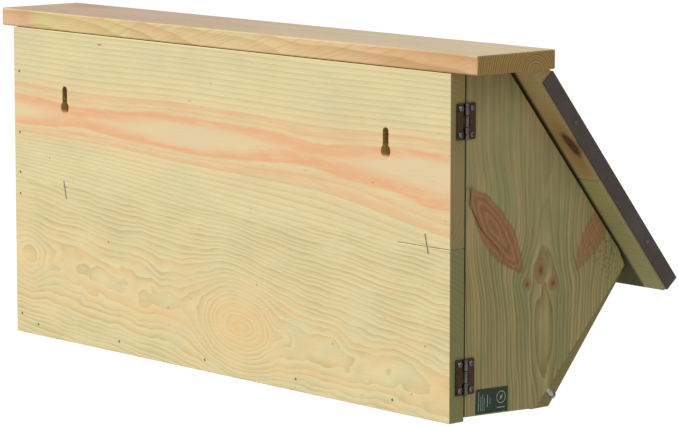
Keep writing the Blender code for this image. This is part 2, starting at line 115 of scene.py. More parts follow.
def lay_floor():
    """A pale floor that sends less light back up than its own brightness would."""
    floor_mesh = bpy.data.meshes.new("floor")
    floor = bmesh.new()
    bmesh.ops.create_grid(floor, x_segments=1, y_segments=1, size=FLOOR_REACH)
    bmesh.ops.translate(floor, verts=floor.verts, vec=(0, 0, FOOT - FLOOR_BELOW))
    floor.to_mesh(floor_mesh)
    floor.free()
    plane = bpy.data.objects.new("floor", floor_mesh)
    bpy.context.scene.collection.objects.link(plane)
    pale, shader, tree = new_material("pale_floor")
    rays = tree.nodes.new("ShaderNodeLightPath")
    seen = blend(tree, rays.outputs["Is Camera Ray"], (0.38, 0.38, 0.37), (0.96, 0.96, 0.955))
    tree.links.new(seen, shader.inputs["Base Color"])
    shader.inputs["Roughness"].default_value = 0.9
    plane.data.materials.append(pale)


# ------------------------------------------------------------------ node helpers
def feed(tree, socket, value):
    if isinstance(value, bpy.types.NodeSocket):
        tree.links.new(value, socket)
    elif isinstance(value, tuple) and len(value) == 3 and socket.type == "RGBA":
        socket.default_value = (*value, 1.0)
    else:
        socket.default_value = value


def calc(tree, operation, *values, clamp=False):
    node = tree.nodes.new("ShaderNodeMath")
    node.operation = operation
    node.use_clamp = clamp
    for socket, value in zip(node.inputs, values):
        feed(tree, socket, value)
    return node.outputs[0]


def blend(tree, factor, low, high, mode="MIX"):
    node = tree.nodes.new("ShaderNodeMix")
    node.data_type = "RGBA"
    node.blend_type = mode
    node.clamp_factor = True
    feed(tree, node.inputs["Factor"], factor)
    feed(tree, node.inputs["A"], low)
    feed(tree, node.inputs["B"], high)
    return node.outputs["Result"]


def ramp(tree, value, low, high, to_low=0.0, to_high=1.0):
    """Smooth step of a value between two limits."""
    node = tree.nodes.new("ShaderNodeMapRange")
    node.interpolation_type = "SMOOTHSTEP"
    names = ("Value", "From Min", "From Max", "To Min", "To Max")
    for name, given in zip(names, (value, low, high, to_low, to_high)):
        feed(tree, node.inputs[name], given)
    return node.outputs["Result"]


def together(tree, x, y, z=0.0):
    node = tree.nodes.new("ShaderNodeCombineXYZ")
    for socket, value in zip(node.inputs, (x, y, z)):
        feed(tree, socket, value)
    return node.outputs[0]


def shaded(tree, colour, factor):
    """A colour made darker or lighter by one factor."""
    return blend(tree, 1.0, colour, together(tree, factor, factor, factor), "MULTIPLY")


def swayed(tree, value, by, amount):
    """A value pushed up and down by a noise that is centred on one half."""
    return calc(tree, "MULTIPLY_ADD", calc(tree, "SUBTRACT", by, 0.5), amount, value)


def dot_with(tree, vector, direction):
    node = tree.nodes.new("ShaderNodeVectorMath")
    node.operation = "DOT_PRODUCT"
    tree.links.new(vector, node.inputs[0])
    node.inputs[1].default_value = direction
    return node.outputs["Value"]


def add_relief(tree, shader, height, distance):
    """Bump the surface by a height of up to a distance in metres."""
    bump = tree.nodes.new("ShaderNodeBump")
    bump.inputs["Distance"].default_value = distance
    tree.links.new(height, bump.inputs["Height"])
    tree.links.new(bump.outputs["Normal"], shader.inputs["Normal"])


def noise(tree, vector, scale, detail=2.0, roughness=0.5, distortion=0.0):
    node = tree.nodes.new("ShaderNodeTexNoise")
    feed(tree, node.inputs["Vector"], vector)
    for name, value in (("Scale", scale), ("Detail", detail), ("Roughness", roughness),
                        ("Distortion", distortion)):
        feed(tree, node.inputs[name], value)
    return node.outputs["Fac"]


def stretched(tree, u, v, w, across=1.0, along=1.0):
    """A texture vector that is stretched along the grain."""
    return together(tree, calc(tree, "DIVIDE", u, along), calc(tree, "DIVIDE", v, across),
                    calc(tree, "DIVIDE", w, across))


def new_material(name):
    material = bpy.data.materials.new(name)
    material.use_nodes = True
    tree = material.node_tree
    return material, tree.nodes["Principled BSDF"], tree


def new_group(name, inputs, outputs):
    """A node group with named sockets; returns its tree, input sockets and output node."""
    tree = bpy.data.node_groups.new(name, "ShaderNodeTree")
    for socket, start in inputs.items():
        kind = "NodeSocketColor" if isinstance(start, tuple) else "NodeSocketFloat"
        made = tree.interface.new_socket(socket, in_out="INPUT", socket_type=kind)
        made.default_value = (*start, 1.0) if isinstance(start, tuple) else start
    for socket, kind in outputs.items():
        tree.interface.new_socket(socket, in_out="OUTPUT", socket_type="NodeSocket" + kind)
    entry = tree.nodes.new("NodeGroupInput")
    leave = tree.nodes.new("NodeGroupOutput")
    return tree, entry.outputs, leave.inputs


def use_group(tree, group, **values):
    node = tree.nodes.new("ShaderNodeGroup")
    node.node_tree = group
    for name, value in values.items():
        feed(tree, node.inputs[name.replace("_", " ")], value)
    return node.outputs


# ------------------------------------------------------------------ timber: shared groups
# All lengths in these groups are millimetres: u runs along the grain, v across the board's
# face and w into the board.
def make_bulge():
    """A rounded rise at one spot, for a place where the heart of the tree comes nearer."""
    tree, given, out = new_group(
        "bulge", {"u": 0.0, "v": 0.0, "at u": 0.0, "at v": 0.0, "length": 40.0,
                  "width": 40.0, "height": 1.0}, {"rise": "Float"})
    along = calc(tree, "SUBTRACT", given["u"], given["at u"])
    across = calc(tree, "SUBTRACT", given["v"], given["at v"])
    along = calc(tree, "DIVIDE", along, given["length"])
    across = calc(tree, "DIVIDE", across, given["width"])
    square = calc(tree, "ADD", calc(tree, "MULTIPLY", along, along),
                  calc(tree, "MULTIPLY", across, across))
    fall = calc(tree, "EXPONENT", calc(tree, "MULTIPLY", square, -1.0))
    feed(tree, out["rise"], calc(tree, "MULTIPLY", fall, given["height"]))
    return tree


def make_growth_rings():
    """Growth rings of a log sawn along its length, with late wood dark and sharp outside."""
    tree, given, out = new_group(
        "growth_rings", {"u": 0.0, "v": 0.0, "w": 0.0, "heart": 0.0, "depth": 30.0,
                         "spacing": 4.0, "wander": 1.0, "sharpness": 3.0, "uneven": 1.6},
        {"late": "Float", "tone": "Float", "rings": "Float"})
    off = calc(tree, "SUBTRACT", given["v"], given["heart"])
    deep = calc(tree, "ADD", given["w"], given["depth"])
    radius = calc(tree, "SQRT", calc(tree, "ADD", calc(tree, "MULTIPLY", off, off),
                                     calc(tree, "MULTIPLY", deep, deep)))
    broad = noise(tree, stretched(tree, given["u"], given["v"], given["w"], 30.0, 130.0), 1.0, 2.0)
    close = noise(tree, stretched(tree, given["u"], given["v"], given["w"], 7.0, 45.0), 1.0, 3.0)
    sway = swayed(tree, swayed(tree, 0.0, close, 1.6), broad, 7.0)
    radius = calc(tree, "MULTIPLY_ADD", sway, given["wander"], radius)
    rings = calc(tree, "DIVIDE", radius, given["spacing"])
    uneven = noise(tree, together(tree, rings, 0.0), 0.45, 1.0)
    rings = swayed(tree, rings, uneven, given["uneven"])
    phase = calc(tree, "FRACT", rings)
    rise = calc(tree, "POWER", phase, given["sharpness"])
    drop = ramp(tree, phase, 0.90, 1.0, 1.0, 0.0)
    feed(tree, out["late"], calc(tree, "MULTIPLY", rise, drop))
    whole = calc(tree, "FLOOR", rings)
    feed(tree, out["tone"], noise(tree, together(tree, whole, 3.7), 0.83, 0.0))
    feed(tree, out["rings"], rings)
    return tree


def make_knot():
    """A branch cut by the face: grain pushed aside, red-brown wood with its own rings."""
    tree, given, out = new_group(
        "knot", {"u": 0.0, "v": 0.0, "at u": 0.0, "at v": 0.0, "length": 20.0, "width": 8.0,
                 "lean": 0.0, "push": 1.0, "rings": 2.0, "spindle": 0.0},
        {"shift": "Float", "inside": "Float", "rim": "Float", "lines": "Float"})
    du = calc(tree, "SUBTRACT", given["u"], given["at u"])
    dv = calc(tree, "SUBTRACT", given["v"], given["at v"])
    cosine = calc(tree, "COSINE", given["lean"])
    sine = calc(tree, "SINE", given["lean"])
    along = calc(tree, "ADD", calc(tree, "MULTIPLY", du, cosine),
                 calc(tree, "MULTIPLY", dv, sine))
    across = calc(tree, "SUBTRACT", calc(tree, "MULTIPLY", dv, cosine),
                  calc(tree, "MULTIPLY", du, sine))
    ragged = noise(tree, together(tree, given["u"], given["v"]), 0.06, 3.0, 0.55)
    a = calc(tree, "DIVIDE", along, given["length"])
    b = calc(tree, "DIVIDE", across, given["width"])
    a_square = calc(tree, "MULTIPLY", a, a)
    b_square = calc(tree, "MULTIPLY", b, b)
    oval = calc(tree, "SQRT", calc(tree, "ADD", a_square, b_square))
    pointed = calc(tree, "ADD", a_square, calc(tree, "SQRT", calc(tree, "ADD", b_square, 0.02)))
    spindle = given["spindle"]
    reach = calc(tree, "ADD", calc(tree, "MULTIPLY", pointed, spindle), calc(
        tree, "MULTIPLY", oval, calc(tree, "SUBTRACT", 1.0, spindle)))
    reach = swayed(tree, reach, ragged, 0.40)
    feed(tree, out["inside"], ramp(tree, reach, 0.74, 1.16, 1.0, 0.0))
    edge = calc(tree, "ABSOLUTE", calc(tree, "SUBTRACT", reach, 0.95))
    feed(tree, out["rim"], ramp(tree, edge, 0.0, 0.16, 1.0, 0.0))
    turns = calc(tree, "MULTIPLY", calc(tree, "MULTIPLY", reach, given["rings"]), 2 * pi)
    feed(tree, out["lines"], calc(tree, "MULTIPLY_ADD", calc(tree, "SINE", turns), 0.5, 0.5))
    wide = calc(tree, "MULTIPLY", calc(tree, "MULTIPLY", reach, reach), -0.28)
    wide = calc(tree, "EXPONENT", wide)
    feed(tree, out["shift"], calc(tree, "MULTIPLY", calc(
        tree, "MULTIPLY", across, wide), calc(tree, "MULTIPLY", given["push"], -0.85)))
    return tree


def make_fine_grain():
    """Fibres, resin flecks and slow mottling of planed pine."""
    tree, given, out = new_group(
        "fine_grain", {"u": 0.0, "v": 0.0, "w": 0.0},
        {"fibre": "Float", "flecks": "Float", "mottle": "Float", "patch": "Float"})
    u, v, w = given["u"], given["v"], given["w"]
    fibre = noise(tree, stretched(tree, u, v, w, 0.8, 28.0), 1.0, 3.0, 0.6)
    feed(tree, out["fibre"], fibre)
    dashes = noise(tree, stretched(tree, u, v, w, 0.9, 9.0), 1.0, 1.0, 0.4)
    gathered = noise(tree, stretched(tree, u, v, w, 26.0, 60.0), 1.0, 1.0)
    feed(tree, out["flecks"], calc(tree, "MULTIPLY", ramp(tree, dashes, 0.70, 0.80),
                                   ramp(tree, gathered, 0.45, 0.62)))
    feed(tree, out["mottle"], noise(tree, stretched(tree, u, v, w, 32.0, 80.0), 1.0, 2.0))
    feed(tree, out["patch"], noise(tree, stretched(tree, v, u, w, 60.0, 38.0), 1.0, 2.0, 0.6))
    return tree


def make_pine_colour():
    """Colour of treated pine from its rings and grain."""
    tree, given, out = new_group(
        "pine_colour", {"late": 0.0, "tone": 0.5, "warmth": 0.0, "fibre": 0.5, "flecks": 0.0,
                        "mottle": 0.5, "patch": 0.5, "end": 0.0, "depth of line": 0.7,
                        "depth of arc": 0.3,
                        "early": (0.75, 0.62, 0.36), "green": (0.62, 0.60, 0.36),
                        "late wood": (0.58, 0.46, 0.22), "salmon": (0.78, 0.42, 0.21),
                        "end wood": (0.40, 0.32, 0.13)},
        {"colour": "Color", "height": "Float"})
    pale = blend(tree, ramp(tree, given["patch"], 0.42, 0.68), given["early"], given["green"])
    pale = blend(tree, calc(tree, "MULTIPLY", given["warmth"], 0.12), pale, given["salmon"])
    dark = blend(tree, given["warmth"], given["late wood"], given["salmon"])
    line = calc(tree, "MULTIPLY", given["late"], calc(
        tree, "MULTIPLY_ADD", given["tone"], 0.9, 0.35))
    line = calc(tree, "MULTIPLY", line, given["depth of line"], clamp=True)
    colour = blend(tree, line, pale, dark)
    colour = blend(tree, calc(tree, "MULTIPLY", given["flecks"], 0.55), colour, (0.25, 0.19, 0.07))
    arcs = calc(tree, "MULTIPLY", given["late"], given["depth of arc"])
    ends = blend(tree, arcs, given["end wood"], (0.215, 0.130, 0.035))
    colour = blend(tree, given["end"], colour, ends)
    shade = swayed(tree, swayed(tree, 1.0, given["fibre"], 0.26), given["mottle"], 0.16)
    feed(tree, out["colour"], shaded(tree, colour, shade))
    feed(tree, out["height"], calc(tree, "MULTIPLY_ADD", line, 0.32, calc(
        tree, "MULTIPLY_ADD", given["fibre"], 0.8, calc(tree, "MULTIPLY", given["flecks"], -1.0))))
    return tree


BULGE = make_bulge()
RINGS = make_growth_rings()
KNOT = make_knot()
GRAIN = make_fine_grain()
PINE = make_pine_colour()

# ------------------------------------------------------------------ timber: materials
RIGHT = Vector((1, 0, 0))
REAR = Vector((0, 1, 0))
UP = Vector((0, 0, 1))
DOWN_ROOF = Vector((0, -cos(ROOF_SLOPE), -sin(ROOF_SLOPE)))
OUT_ROOF = Vector((0, -sin(ROOF_SLOPE), cos(ROOF_SLOPE)))
UP_FRONT = Vector((0, -cos(FRONT_SLOPE), sin(FRONT_SLOPE)))
OUT_FRONT = Vector((0, -sin(FRONT_SLOPE), -cos(FRONT_SLOPE)))

CREAM = (0.755, 0.640, 0.365)
CREAM_GREEN = (0.705, 0.635, 0.370)
OLIVE_LINE = (0.560, 0.455, 0.215)
SALMON = (0.800, 0.410, 0.205)
ORANGE = (0.790, 0.500, 0.205)
END_BROWN = (0.450, 0.350, 0.150)
END_GREEN = (0.350, 0.350, 0.145)
RESIN = (0.16, 0.085, 0.025)

# Places on the back board, in millimetres from its door end and its foot.
NEST_U, NEST_V = 268.0, 47.0        # middle of the closed rings
FLAME_V = 205.0                     # height of the flame's heart
FLAME_CREST, FLAME_LENGTH = 486.0, 318.0


def board_axes(tree, start, along, across, into):
    """u, v and w of the point being shaded, and how far its face is end grain."""
    place = tree.nodes.new("ShaderNodeTexCoord").outputs
    measured = []
    for direction in (along, across, into):
        reach = dot_with(tree, place["Object"], direction)
        reach = calc(tree, "SUBTRACT", reach, start.dot(direction))
        measured.append(calc(tree, "MULTIPLY", reach, MM))
    square = calc(tree, "ABSOLUTE", dot_with(tree, place["Normal"], along))
    return (*measured, ramp(tree, square, 0.55, 0.85))


def face_towards(tree, direction):
    """How far the face being shaded looks in a direction."""
    normal = tree.nodes.new("ShaderNodeTexCoord").outputs["Normal"]
    return ramp(tree, dot_with(tree, normal, direction), 0.5, 0.85)


def total(tree, values):
    result = values[0]
    for value in values[1:]:
        result = calc(tree, "ADD", result, value)
    return result


def bulges(tree, u, v, spots):
    """Sum of bulges given as (at u, at v, length, width, height)."""
    rises = [use_group(tree, BULGE, u=u, v=v, at_u=a, at_v=b, length=c, width=d, height=e)["rise"]
             for a, b, c, d, e in spots]
    return total(tree, rises)


def stroke(tree, u, v, start, stop, width, height):
    """A soft straight mark from one point to another, both given as (u, v)."""
    run, rise = stop[0] - start[0], stop[1] - start[1]
    length = sqrt(run * run + rise * rise)
    cosine, sine = run / length, rise / length
    at_u, at_v = (start[0] + stop[0]) / 2, (start[1] + stop[1]) / 2
    along = calc(tree, "MULTIPLY_ADD", u, cosine, calc(tree, "MULTIPLY", v, sine))
    across = calc(tree, "MULTIPLY_ADD", u, -sine, calc(tree, "MULTIPLY", v, cosine))
    return use_group(tree, BULGE, u=along, v=across, at_u=at_u * cosine + at_v * sine,
                     at_v=at_v * cosine - at_u * sine, length=length * 0.55, width=width,
                     height=height)["rise"]


def speckle(tree, colour, u, v, spots):
    """Small dark marks given as (at u, at v, half length, half width)."""
    marks = bulges(tree, u, v, [(a, b, c, d, 1.0) for a, b, c, d in spots])
    return blend(tree, calc(tree, "MULTIPLY", ramp(tree, marks, 0.25, 0.75), 0.8), colour,
                 RESIN)


def knots(tree, u, v, rows):
    """Knots given as (at u, at v, length, width, lean in degrees, push, rings, spindle)."""
    return [use_group(tree, KNOT, u=u, v=v, at_u=at_u, at_v=at_v, length=length, width=width,
                      lean=radians(lean), push=push, rings=rings, spindle=spindle)
            for at_u, at_v, length, width, lean, push, rings, spindle in rows]


def pine_look(tree, grain, rings, **values):
    """The shared pine colours, fed by a board's rings and its fine grain."""
    values.setdefault("late", rings["late"])
    return use_group(tree, PINE, tone=rings["tone"], fibre=grain["fibre"],
                     flecks=grain["flecks"], mottle=grain["mottle"], patch=grain["patch"],
                     **values)


def finish_timber(tree, shader, colour, height):
    tree.links.new(colour, shader.inputs["Base Color"])
    shader.inputs["Specular IOR Level"].default_value = 0.28
    feed(tree, shader.inputs["Roughness"], calc(tree, "MULTIPLY_ADD", height, -0.08, 0.66))
    add_relief(tree, shader, height, 0.00012)


def back_space(tree):
    return board_axes(tree, Vector((BACK_LOW.x, 0, FOOT)), RIGHT, UP, -REAR)


def tilted(tree, u, v):
    """Height across the back once the grain's fall towards the door is taken out."""
    fall = ramp(tree, v, 150.0, FLAME_V, 0.095, 0.008)
    away = calc(tree, "SUBTRACT", u, NEST_U)
    return calc(tree, "SUBTRACT", v, calc(tree, "MULTIPLY", away, fall))


def flame_band(tree, off, reach, blur, fade):
    """A band with a soft inner side that ends sharply at its reach from the heart."""
    beyond = calc(tree, "SUBTRACT", off, reach)
    inner = ramp(tree, calc(tree, "DIVIDE", beyond, blur), -1.0, 0.0)
    return calc(tree, "MULTIPLY", inner, ramp(tree, beyond, 0.0, fade, 1.0, 0.0))


def upper_back_timber():
    """Straight fine grain with a long flame of salmon-coloured wood."""
    material, shader, tree = new_material("pine_back_upper")
    u, v, w, end = back_space(tree)
    level = tilted(tree, u, v)
    past_crest = calc(tree, "SUBTRACT", u, FLAME_CREST)
    wave = calc(tree, "COSINE", calc(tree, "MULTIPLY", past_crest, 2 * pi / FLAME_LENGTH))
    soft = noise(tree, stretched(tree, u, v, w, 60.0, 90.0), 1.0, 2.0)
    depth = calc(tree, "MULTIPLY_ADD", wave, 1.5, calc(tree, "MULTIPLY_ADD", soft, 1.2, 27.6))
    close = noise(tree, stretched(tree, u, v, w, 5.0, 34.0), 1.0, 3.0, 0.6)
    off = calc(tree, "SUBTRACT", swayed(tree, level, soft, 7.0), FLAME_V)
    off = calc(tree, "ABSOLUTE", off)
    rings = use_group(tree, RINGS, u=u, v=level, w=w, heart=FLAME_V, depth=depth, spacing=4.3,
                      wander=0.28, uneven=0.0, sharpness=ramp(tree, off, 12.0, 40.0, 1.5, 2.4))
    grain = use_group(tree, GRAIN, u=u, v=v, w=w)
    warmth = ramp(tree, off, 14.0, 46.0, 0.8, 0.0)
    opened = calc(tree, "SQRT", calc(tree, "MULTIPLY_ADD", wave, -0.5, 0.5, clamp=True))
    reach = calc(tree, "MULTIPLY_ADD", opened, 6.5, 8.5)
    ripple = swayed(tree, off, close, 6.0)
    first = flame_band(tree, ripple, reach, calc(tree, "MULTIPLY_ADD", opened, -16.0, 24.0), 2.6)
    second = flame_band(tree, ripple, calc(tree, "ADD", reach, 10.5), 6.5, 1.8)
    beyond = calc(tree, "SUBTRACT", off, reach)
    quiet = ramp(tree, beyond, -1.0, 7.0, 0.12, 1.0)
    colours = pine_look(tree, grain, rings, late=calc(tree, "MULTIPLY", rings["late"], quiet),
                        warmth=warmth, end=end,
                        depth_of_line=ramp(tree, off, 14.0, 40.0, 1.0, 0.85), early=CREAM,
                        green=CREAM_GREEN, late_wood=OLIVE_LINE, salmon=SALMON,
                        end_wood=END_BROWN)
    side_grain = calc(tree, "SUBTRACT", 1.0, end)
    inside = calc(tree, "MULTIPLY", ramp(tree, beyond, -2.0, 2.0, 0.5, 0.0), side_grain)
    colour = blend(tree, inside, colours["colour"], (0.775, 0.585, 0.360))
    patchy = ramp(tree, close, 0.25, 0.60, 0.55, 1.0)
    flame = calc(tree, "MAXIMUM", calc(tree, "MULTIPLY", first, 0.92), calc(
        tree, "MULTIPLY", second, 0.48))
    flame = calc(tree, "MULTIPLY", calc(tree, "MULTIPLY", flame, patchy), side_grain)
    colour = blend(tree, flame, colour, SALMON)
    colour = speckle(tree, colour, u, v, ((457, 276, 3.2, 0.8), (330, 236, 0.9, 0.7),
                                          (92, 188, 1.1, 0.7), (533, 167, 0.8, 0.8)))
    finish_timber(tree, shader, colour, colours["height"])
    return material


def lower_back_timber():
    """Flat-sawn figure: a nest of closed rings near the middle and broad pale loops beside it."""
    material, shader, tree = new_material("pine_back_lower")
    u, v, w, end = back_space(tree)
    level = tilted(tree, u, v)
    nearer = bulges(tree, u, v, ((NEST_U, NEST_V, 40, 70, 32), (566, 70, 28, 34, 14),
                                 (452, 52, 46, 30, 4), (60, 40, 50, 22, 4.5),
                                 (140, 46, 34, 30, 3.5), (200, 58, 75, 60, 9)))
    swells = noise(tree, stretched(tree, u, v, w, 34.0, 52.0), 1.0, 2.0)
    ripples = noise(tree, stretched(tree, u, v, w, 18.0, 26.0), 1.0, 2.0)
    waves = calc(tree, "MULTIPLY_ADD", ripples, 0.20, swells)
    depth = calc(tree, "SUBTRACT", calc(tree, "MULTIPLY_ADD", waves, 12.0, 33.5), nearer)
    rings = use_group(tree, RINGS, u=u, v=level, w=w, heart=NEST_V, depth=depth, spacing=3.9,
                      wander=0.8, sharpness=1.5)
    grain = use_group(tree, GRAIN, u=u, v=v, w=w)
    off = calc(tree, "ABSOLUTE", calc(tree, "SUBTRACT", level, NEST_V))
    blotch = ramp(tree, noise(tree, stretched(tree, u, v, w, 26.0, 40.0), 1.0, 2.0), 0.42, 0.66)
    warmth = calc(tree, "MULTIPLY", ramp(tree, off, 16.0, 52.0, 0.9, 0.15), blotch)
    heart = bulges(tree, u, v, ((NEST_U, NEST_V, 62, 26, 0.85),))
    warmth = calc(tree, "MAXIMUM", warmth, heart)
    strong = noise(tree, stretched(tree, u, v, w, 30.0, 60.0), 1.3, 2.0)
    late = calc(tree, "MULTIPLY", rings["late"], ramp(tree, strong, 0.30, 0.62, 0.50, 1.15))
    colours = pine_look(tree, grain, rings, late=late, warmth=warmth, end=end,
                        depth_of_line=1.05, early=CREAM, green=CREAM_GREEN,
                        late_wood=(0.530, 0.420, 0.190), salmon=ORANGE, end_wood=END_GREEN)
    glow = calc(tree, "MULTIPLY", ramp(tree, rings["tone"], 0.50, 0.66, 0.0, 0.34),
                ramp(tree, off, 30.0, 75.0, 1.0, 0.25))
    glow = calc(tree, "MULTIPLY", glow, calc(tree, "SUBTRACT", 1.0, end))
    colour = blend(tree, glow, colours["colour"], (0.800, 0.560, 0.275))
    centre = bulges(tree, u, v, ((NEST_U, NEST_V, 9, 7, 0.55),))
    centre = calc(tree, "MAXIMUM", centre, calc(tree, "MULTIPLY", heart, 0.20))
    colour = blend(tree, centre, colour, ORANGE)
    colour = speckle(tree, colour, u, v, ((446, 99, 1.1, 0.8), (361, 50, 1.2, 0.7),
                                          (240, 85, 0.9, 0.7), (142, 47, 1.0, 0.7),
                                          (29, 60, 0.9, 0.9), (45, 18, 1.0, 0.7)))
    finish_timber(tree, shader, colour, colours["height"])
    return material


def cap_timber():
    """Pinkish board with its heart just under the lower face, so the end shows full arcs."""
    material, shader, tree = new_material("pine_cap")
    start = Vector((CAP_LOW.x, CAP_HIGH.y, CAP_LOW.z))
    u, v, w, end = board_axes(tree, start, RIGHT, -REAR, UP)
    sweep = noise(tree, together(tree, calc(tree, "DIVIDE", u, 210.0), 4.2), 1.0, 1.0)
    heart = swayed(tree, calc(tree, "MULTIPLY_ADD", u, -0.022, 66.0), sweep, 12.0)
    rings = use_group(tree, RINGS, u=u, v=v, w=w, heart=heart, depth=2.5, spacing=2.3,
                      wander=0.3, sharpness=1.7, uneven=1.0)
    grain = use_group(tree, GRAIN, u=u, v=v, w=w)
    bands = noise(tree, stretched(tree, u, v, w, 12.0, 110.0), 1.0, 1.0)
    colours = pine_look(tree, grain, rings, warmth=ramp(tree, bands, 0.40, 0.66, 0.0, 0.6),
                        end=end, depth_of_line=0.95, depth_of_arc=1.0,
                        early=(0.72, 0.50, 0.30), green=(0.67, 0.52, 0.28),
                        late_wood=(0.50, 0.33, 0.15), salmon=(0.70, 0.37, 0.19),
                        end_wood=(0.60, 0.395, 0.125))
    top = face_towards(tree, UP)
    side = (0.94, 0.84, 0.76)
    for near, far, tint in ((60.0, 230.0, (1.0, 1.08, 1.0)), (380.0, 470.0, (0.97, 1.09, 0.93)),
                            (574.0, 600.0, (1.01, 0.93, 0.96))):
        side = blend(tree, ramp(tree, u, near, far), side, tint)
    # Painted reflection: faces looking up get a cool grey tint in place of the sky's sheen at a
    # grazing angle, lighter at the door end.
    painted_sky_sheen = blend(tree, ramp(tree, u, 60.0, 520.0), (0.855, 1.0, 1.20), (0.75, 0.81, 1.04))
    side = blend(tree, 1.0, side, (1.04, 1.03, 1.02), "MULTIPLY")
    tint = blend(tree, end, blend(tree, top, side, painted_sky_sheen), (1.0, 1.0, 1.0))
    colour = blend(tree, 1.0, colours["colour"], tint, "MULTIPLY")
    stain = bulges(tree, u, v, ((590, 70, 26, 16, 0.5), (566, 20, 14, 6, 0.3)))
    colour = blend(tree, calc(tree, "MULTIPLY", stain, top), colour, (0.46, 0.22, 0.12))
    narrow = calc(tree, "SUBTRACT", 1.0, calc(tree, "MAXIMUM", top, end))
    side_knot = bulges(tree, u, w, ((600, 12, 12, 9, 0.4),))
    colour = blend(tree, calc(tree, "MULTIPLY", side_knot, narrow), colour, (0.56, 0.26, 0.12))
    slanting = calc(tree, "MULTIPLY_ADD", u, 0.32, w)
    strokes = noise(tree, together(tree, calc(tree, "DIVIDE", slanting, 1.5), calc(
        tree, "DIVIDE", u, 70.0)), 1.0, 2.0, 0.55)
    strokes = ramp(tree, strokes, 0.48, 0.66, 0.0, 0.34)
    strokes = calc(tree, "MULTIPLY", strokes, ramp(tree, u, 430.0, 520.0, 1.0, 0.45))
    colour = blend(tree, calc(tree, "MULTIPLY", strokes, narrow), colour, (0.50, 0.30, 0.13))
    finish_timber(tree, shader, colour, colours["height"])
    return material


# Cracks along the hinge side of the long knot: from and to as (u, v), half width, darkness.
CRACKS = (((191, 22.5), (176, 21.8), 0.9, 0.9), ((177, 21.6), (155, 34.6), 0.8, 1.0),
          ((156, 34.0), (134, 58.5), 0.6, 0.75), ((130, 56), (118, 73), 0.5, 0.45))


def door_timber():
    """Upright grain round two long red-brown knots and three small round ones."""
    material, shader, tree = new_material("pine_door")
    start = Vector((DOOR_FACE, 0, FOOT))
    u, v, w, end = board_axes(tree, start, UP, -REAR, RIGHT)
    long_knots = knots(tree, u, v, ((153, 51, 50, 15.5, -39, 0.85, 3.2, 0.9),
                                    (141, 166, 38, 12.0, 36, 0.75, 4.2, 0.9)))
    spots = ((115, 103, 11.5, 6.4), (105, 87, 6.0, 4.6), (103, 117, 6.6, 5.6))
    small = knots(tree, u, v, [(*spot, 0.0, 1.0, 1.0, 0.15) for spot in spots])
    moved = total(tree, [v] + [knot["shift"] for knot in long_knots + small])
    soft = noise(tree, stretched(tree, u, v, w, 50.0, 110.0), 1.0, 2.0)
    depth = calc(tree, "SUBTRACT", calc(tree, "MULTIPLY_ADD", soft, 16.0, 20.0),
                 bulges(tree, u, v, ((70, 100, 80, 40, 8),)))
    rings = use_group(tree, RINGS, u=u, v=moved, w=w, heart=108.0, depth=depth, spacing=3.6,
                      wander=1.0, sharpness=1.5)
    grain = use_group(tree, GRAIN, u=u, v=v, w=w)
    near_hinges = ramp(tree, v, 26.0, 62.0, 0.8, 0.0)
    bands = noise(tree, together(tree, calc(tree, "DIVIDE", moved, 9.0), calc(
        tree, "DIVIDE", u, 300.0)), 1.0, 1.0)
    warmth = calc(tree, "MULTIPLY", ramp(tree, bands, 0.45, 0.62), calc(
        tree, "ADD", near_hinges, 0.25))
    colours = pine_look(tree, grain, rings, warmth=warmth, end=end,
                        depth_of_line=ramp(tree, u, 118.0, 178.0, 1.30, 0.62),
                        early=(0.560, 0.490, 0.245), green=(0.470, 0.470, 0.238),
                        late_wood=(0.330, 0.270, 0.100), salmon=(0.500, 0.290, 0.120),
                        end_wood=(0.36, 0.28, 0.10))
    streak = noise(tree, together(tree, calc(tree, "DIVIDE", moved, 5.5), calc(
        tree, "DIVIDE", u, 190.0), 7.3), 1.0, 2.0, 0.6)
    tint = blend(tree, ramp(tree, streak, 0.34, 0.66), (0.86, 0.90, 0.82), (1.14, 1.06, 1.00))
    colour = blend(tree, 1.0, colours["colour"], tint, "MULTIPLY")
    for knot, strength in zip(long_knots, (0.84, 0.68)):
        core = ramp(tree, knot["inside"], 0.5, 1.0)
        body = blend(tree, knot["lines"], (0.640, 0.285, 0.125), (0.385, 0.140, 0.058))
        body = blend(tree, calc(tree, "MULTIPLY", core, 0.20), body, (0.47, 0.24, 0.11))
        fibres = ramp(tree, grain["fibre"], 0.42, 0.7, 0.0, 0.6)
        body = blend(tree, fibres, body, (0.31, 0.135, 0.05))
        colour = blend(tree, calc(tree, "MULTIPLY", knot["inside"], strength), colour, body)
        colour = blend(tree, calc(tree, "MULTIPLY", knot["rim"], strength * 0.4), colour,
                       (0.24, 0.10, 0.035))
    for knot in small:
        for part, strength, paint in (("inside", 0.60, (0.50, 0.235, 0.10)),
                                      ("rim", 0.22, (0.24, 0.12, 0.05))):
            colour = blend(tree, calc(tree, "MULTIPLY", knot[part], strength), colour, paint)
    centres = bulges(tree, u, v, [(a, b, c * 0.38, d * 0.42, 0.85) for a, b, c, d in spots])
    colour = blend(tree, centres, colour, (0.20, 0.075, 0.03))
    cracks = total(tree, [stroke(tree, u, v, start, stop, width, height)
                          for start, stop, width, height in CRACKS])
    colour = blend(tree, cracks, colour, (0.10, 0.045, 0.02))
    pores = noise(tree, stretched(tree, u, v, w, 1.6, 3.4), 1.0, 1.0, 0.5)
    tip = bulges(tree, u, v, ((122, 183, 20, 14, 1.0),))
    colour = blend(tree, calc(tree, "MULTIPLY", ramp(tree, pores, 0.52, 0.68), tip), colour,
                   (0.16, 0.11, 0.035))
    # Painted shade: darker towards the top under the cap's overhang, and darker on the rear edge
    # face in the narrow gap to the back board.
    painted_cap_and_gap_shade = calc(tree, "MULTIPLY", ramp(tree, u, 236.0, 286.0, 1.0, 0.74),
                     ramp(tree, v, 16.8, 17.8, 0.2, 1.0))
    finish_timber(tree, shader, shaded(tree, colour, painted_cap_and_gap_shade), colours["height"])
    return material


